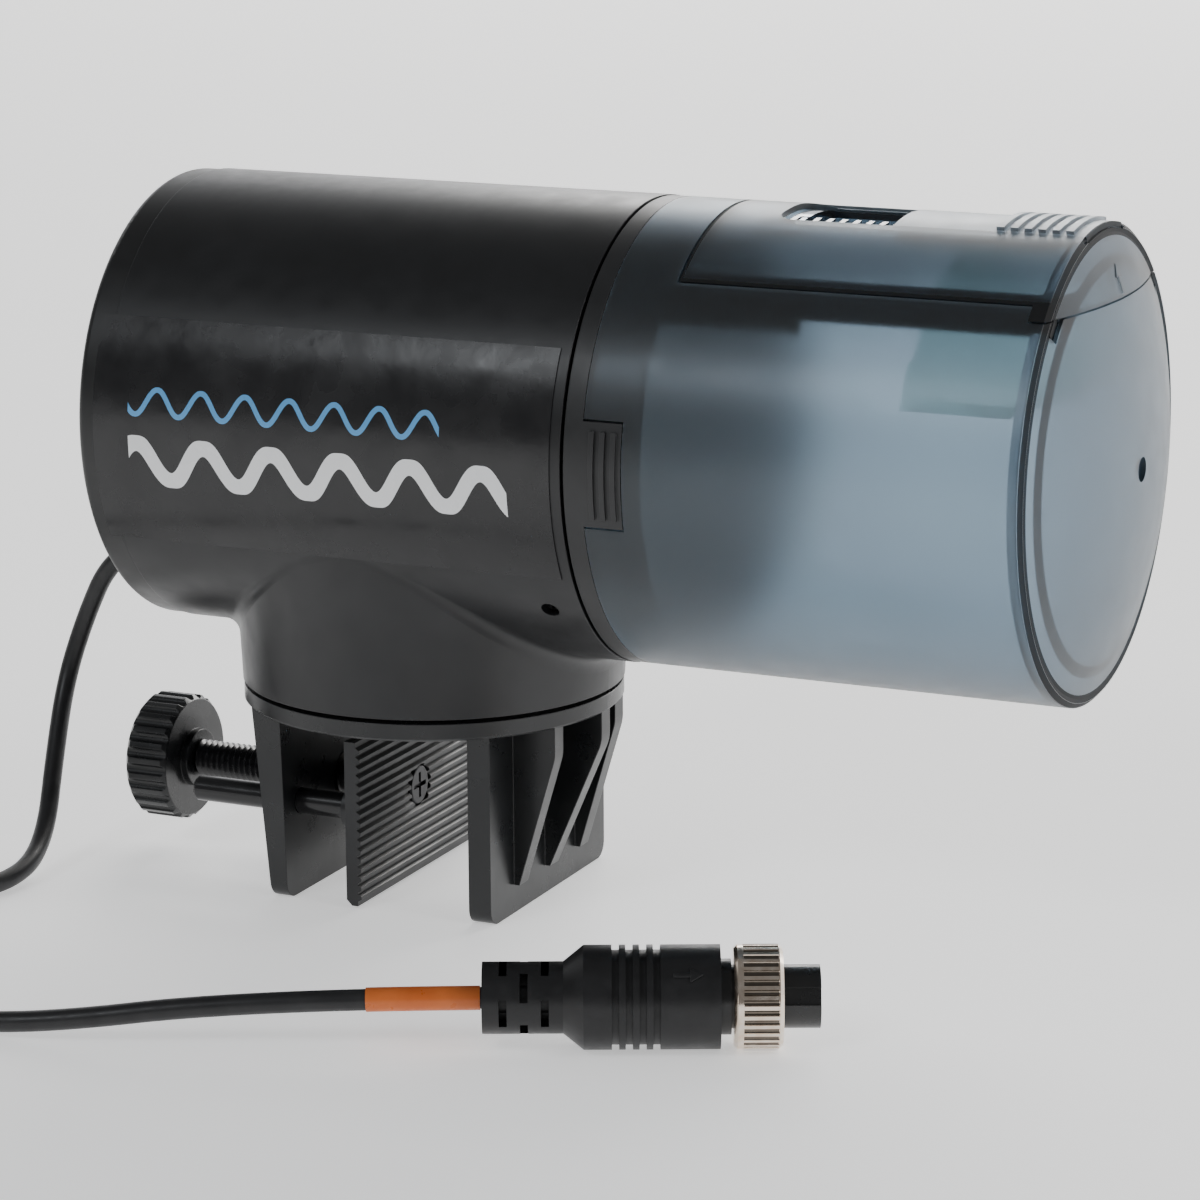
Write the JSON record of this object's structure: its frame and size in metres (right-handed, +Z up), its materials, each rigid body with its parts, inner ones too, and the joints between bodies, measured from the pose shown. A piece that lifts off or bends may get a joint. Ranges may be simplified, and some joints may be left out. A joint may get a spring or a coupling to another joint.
{
  "type": "automatic fish feeder",
  "caption": "Automatic fish feeder: black cylindrical drive housing with a smoky turning food drum, on a screw clamp with a swivel, with a cord and round plug.",
  "frame": {"origin": "on the surface the clamp's foot stands on, below the middle of the swivel", "axes": "+X along the drum axis towards the domed end of the drum, +Y to the back, +Z up"},
  "size_m": [0.2496, 0.1289, 0.1099],
  "materials": {
    "black_plastic": "satin",
    "smoke_plastic": "frosted",
    "white_plastic": "satin",
    "label_film": "satin",
    "steel": "satin",
    "motor_steel": "satin",
    "brass": "satin",
    "board_green": "satin",
    "component_black": "matte",
    "rubber": "matte",
    "insert_plastic": "satin",
    "orange_sleeve": "satin",
    "nickel": "polished"
  },
  "bodies": {
    "clamp": {"clamp_bracket": "black_plastic", "screw_insert": "brass", "swivel_ring": "white_plastic", "swivel_spring": "steel", "swivel_washer": "steel", "swivel_screw": "steel"},
    "pressure_plate": {"pressure_plate": "black_plastic", "guide_pins": "black_plastic"},
    "clamp_screw": {"clamp_screw": "black_plastic", "screw_knob": "black_plastic", "plate_screw": "steel"},
    "housing": {"housing_shell": "black_plastic", "rear_cap": "black_plastic", "rear_cap_screws": "steel", "cable_gland": "rubber", "circuit_board": "board_green", "board_components": "component_black", "board_screws": "steel", "front_bulkhead": "black_plastic", "spindle_bush": "white_plastic", "housing_screws": "steel", "gear_plate": "black_plastic", "gear_plate_screws": "steel", "gearhead_case": "black_plastic", "motor_screws": "steel", "motor_can": "motor_steel", "home_sensor": "black_plastic", "label": "label_film", "feeder_cord": "rubber", "cord_coil": "rubber", "cord_return": "rubber", "marker_sleeve": "orange_sleeve", "plug_body": "rubber", "plug_insert": "insert_plastic", "plug_contacts": "brass"},
    "pinion": {"pinion_gear": "white_plastic"},
    "drum": {"drum_gear": "white_plastic", "drum_spindle": "white_plastic", "spindle_clip": "steel", "drum_collar": "black_plastic", "home_magnet": "steel", "food_drum": "smoke_plastic", "food_baffle": "smoke_plastic"},
    "hatch": {"drum_hatch": "smoke_plastic"},
    "shutter": {"portion_slider": "smoke_plastic"},
    "coupling_nut": {"coupling_nut": "nickel"}
  },
  "joints": [
    {"name": "housing_swivel", "type": "hinge", "parent": "clamp", "child": "housing", "pos_m": [0, 0, 0.033], "axis": [0, 0, 1], "range_deg": [-180, 180]},
    {"name": "plate_slide", "type": "slide", "parent": "clamp", "child": "pressure_plate", "axis": [1, 0, 0], "range_m": [-0.008, 0.0178]},
    {"name": "screw_turn", "type": "hinge", "parent": "pressure_plate", "child": "clamp_screw", "pos_m": [-0.03, 0, 0.0145], "axis": [1, 0, 0], "range_deg": [-2881, 6410]},
    {"name": "drum_turn", "type": "hinge", "parent": "housing", "child": "drum", "pos_m": [0.05, 0, 0.0745], "axis": [1, 0, 0], "continuous": true},
    {"name": "pinion_turn", "type": "hinge", "parent": "housing", "child": "pinion", "pos_m": [0.025, 0, 0.05358], "axis": [1, 0, 0], "continuous": true},
    {"name": "hatch_slide", "type": "slide", "parent": "drum", "child": "hatch", "axis": [1, 0, 0], "range_m": [0, 0.045]},
    {"name": "shutter_slide", "type": "slide", "parent": "hatch", "child": "shutter", "axis": [-1, 0, 0], "range_m": [0, 0.0147]},
    {"name": "nut_turn", "type": "hinge", "parent": "housing", "child": "coupling_nut", "pos_m": [0.07615, -0.05298, 0.0073], "axis": [0.9092, 0.4163, 0], "continuous": true}
  ],
  "couplings": [
    {"joint": "screw_turn", "follows": "plate_slide", "rad_per_m": 6283.2},
    {"joint": "pinion_turn", "follows": "drum_turn", "ratio": -3.3333}
  ]
}
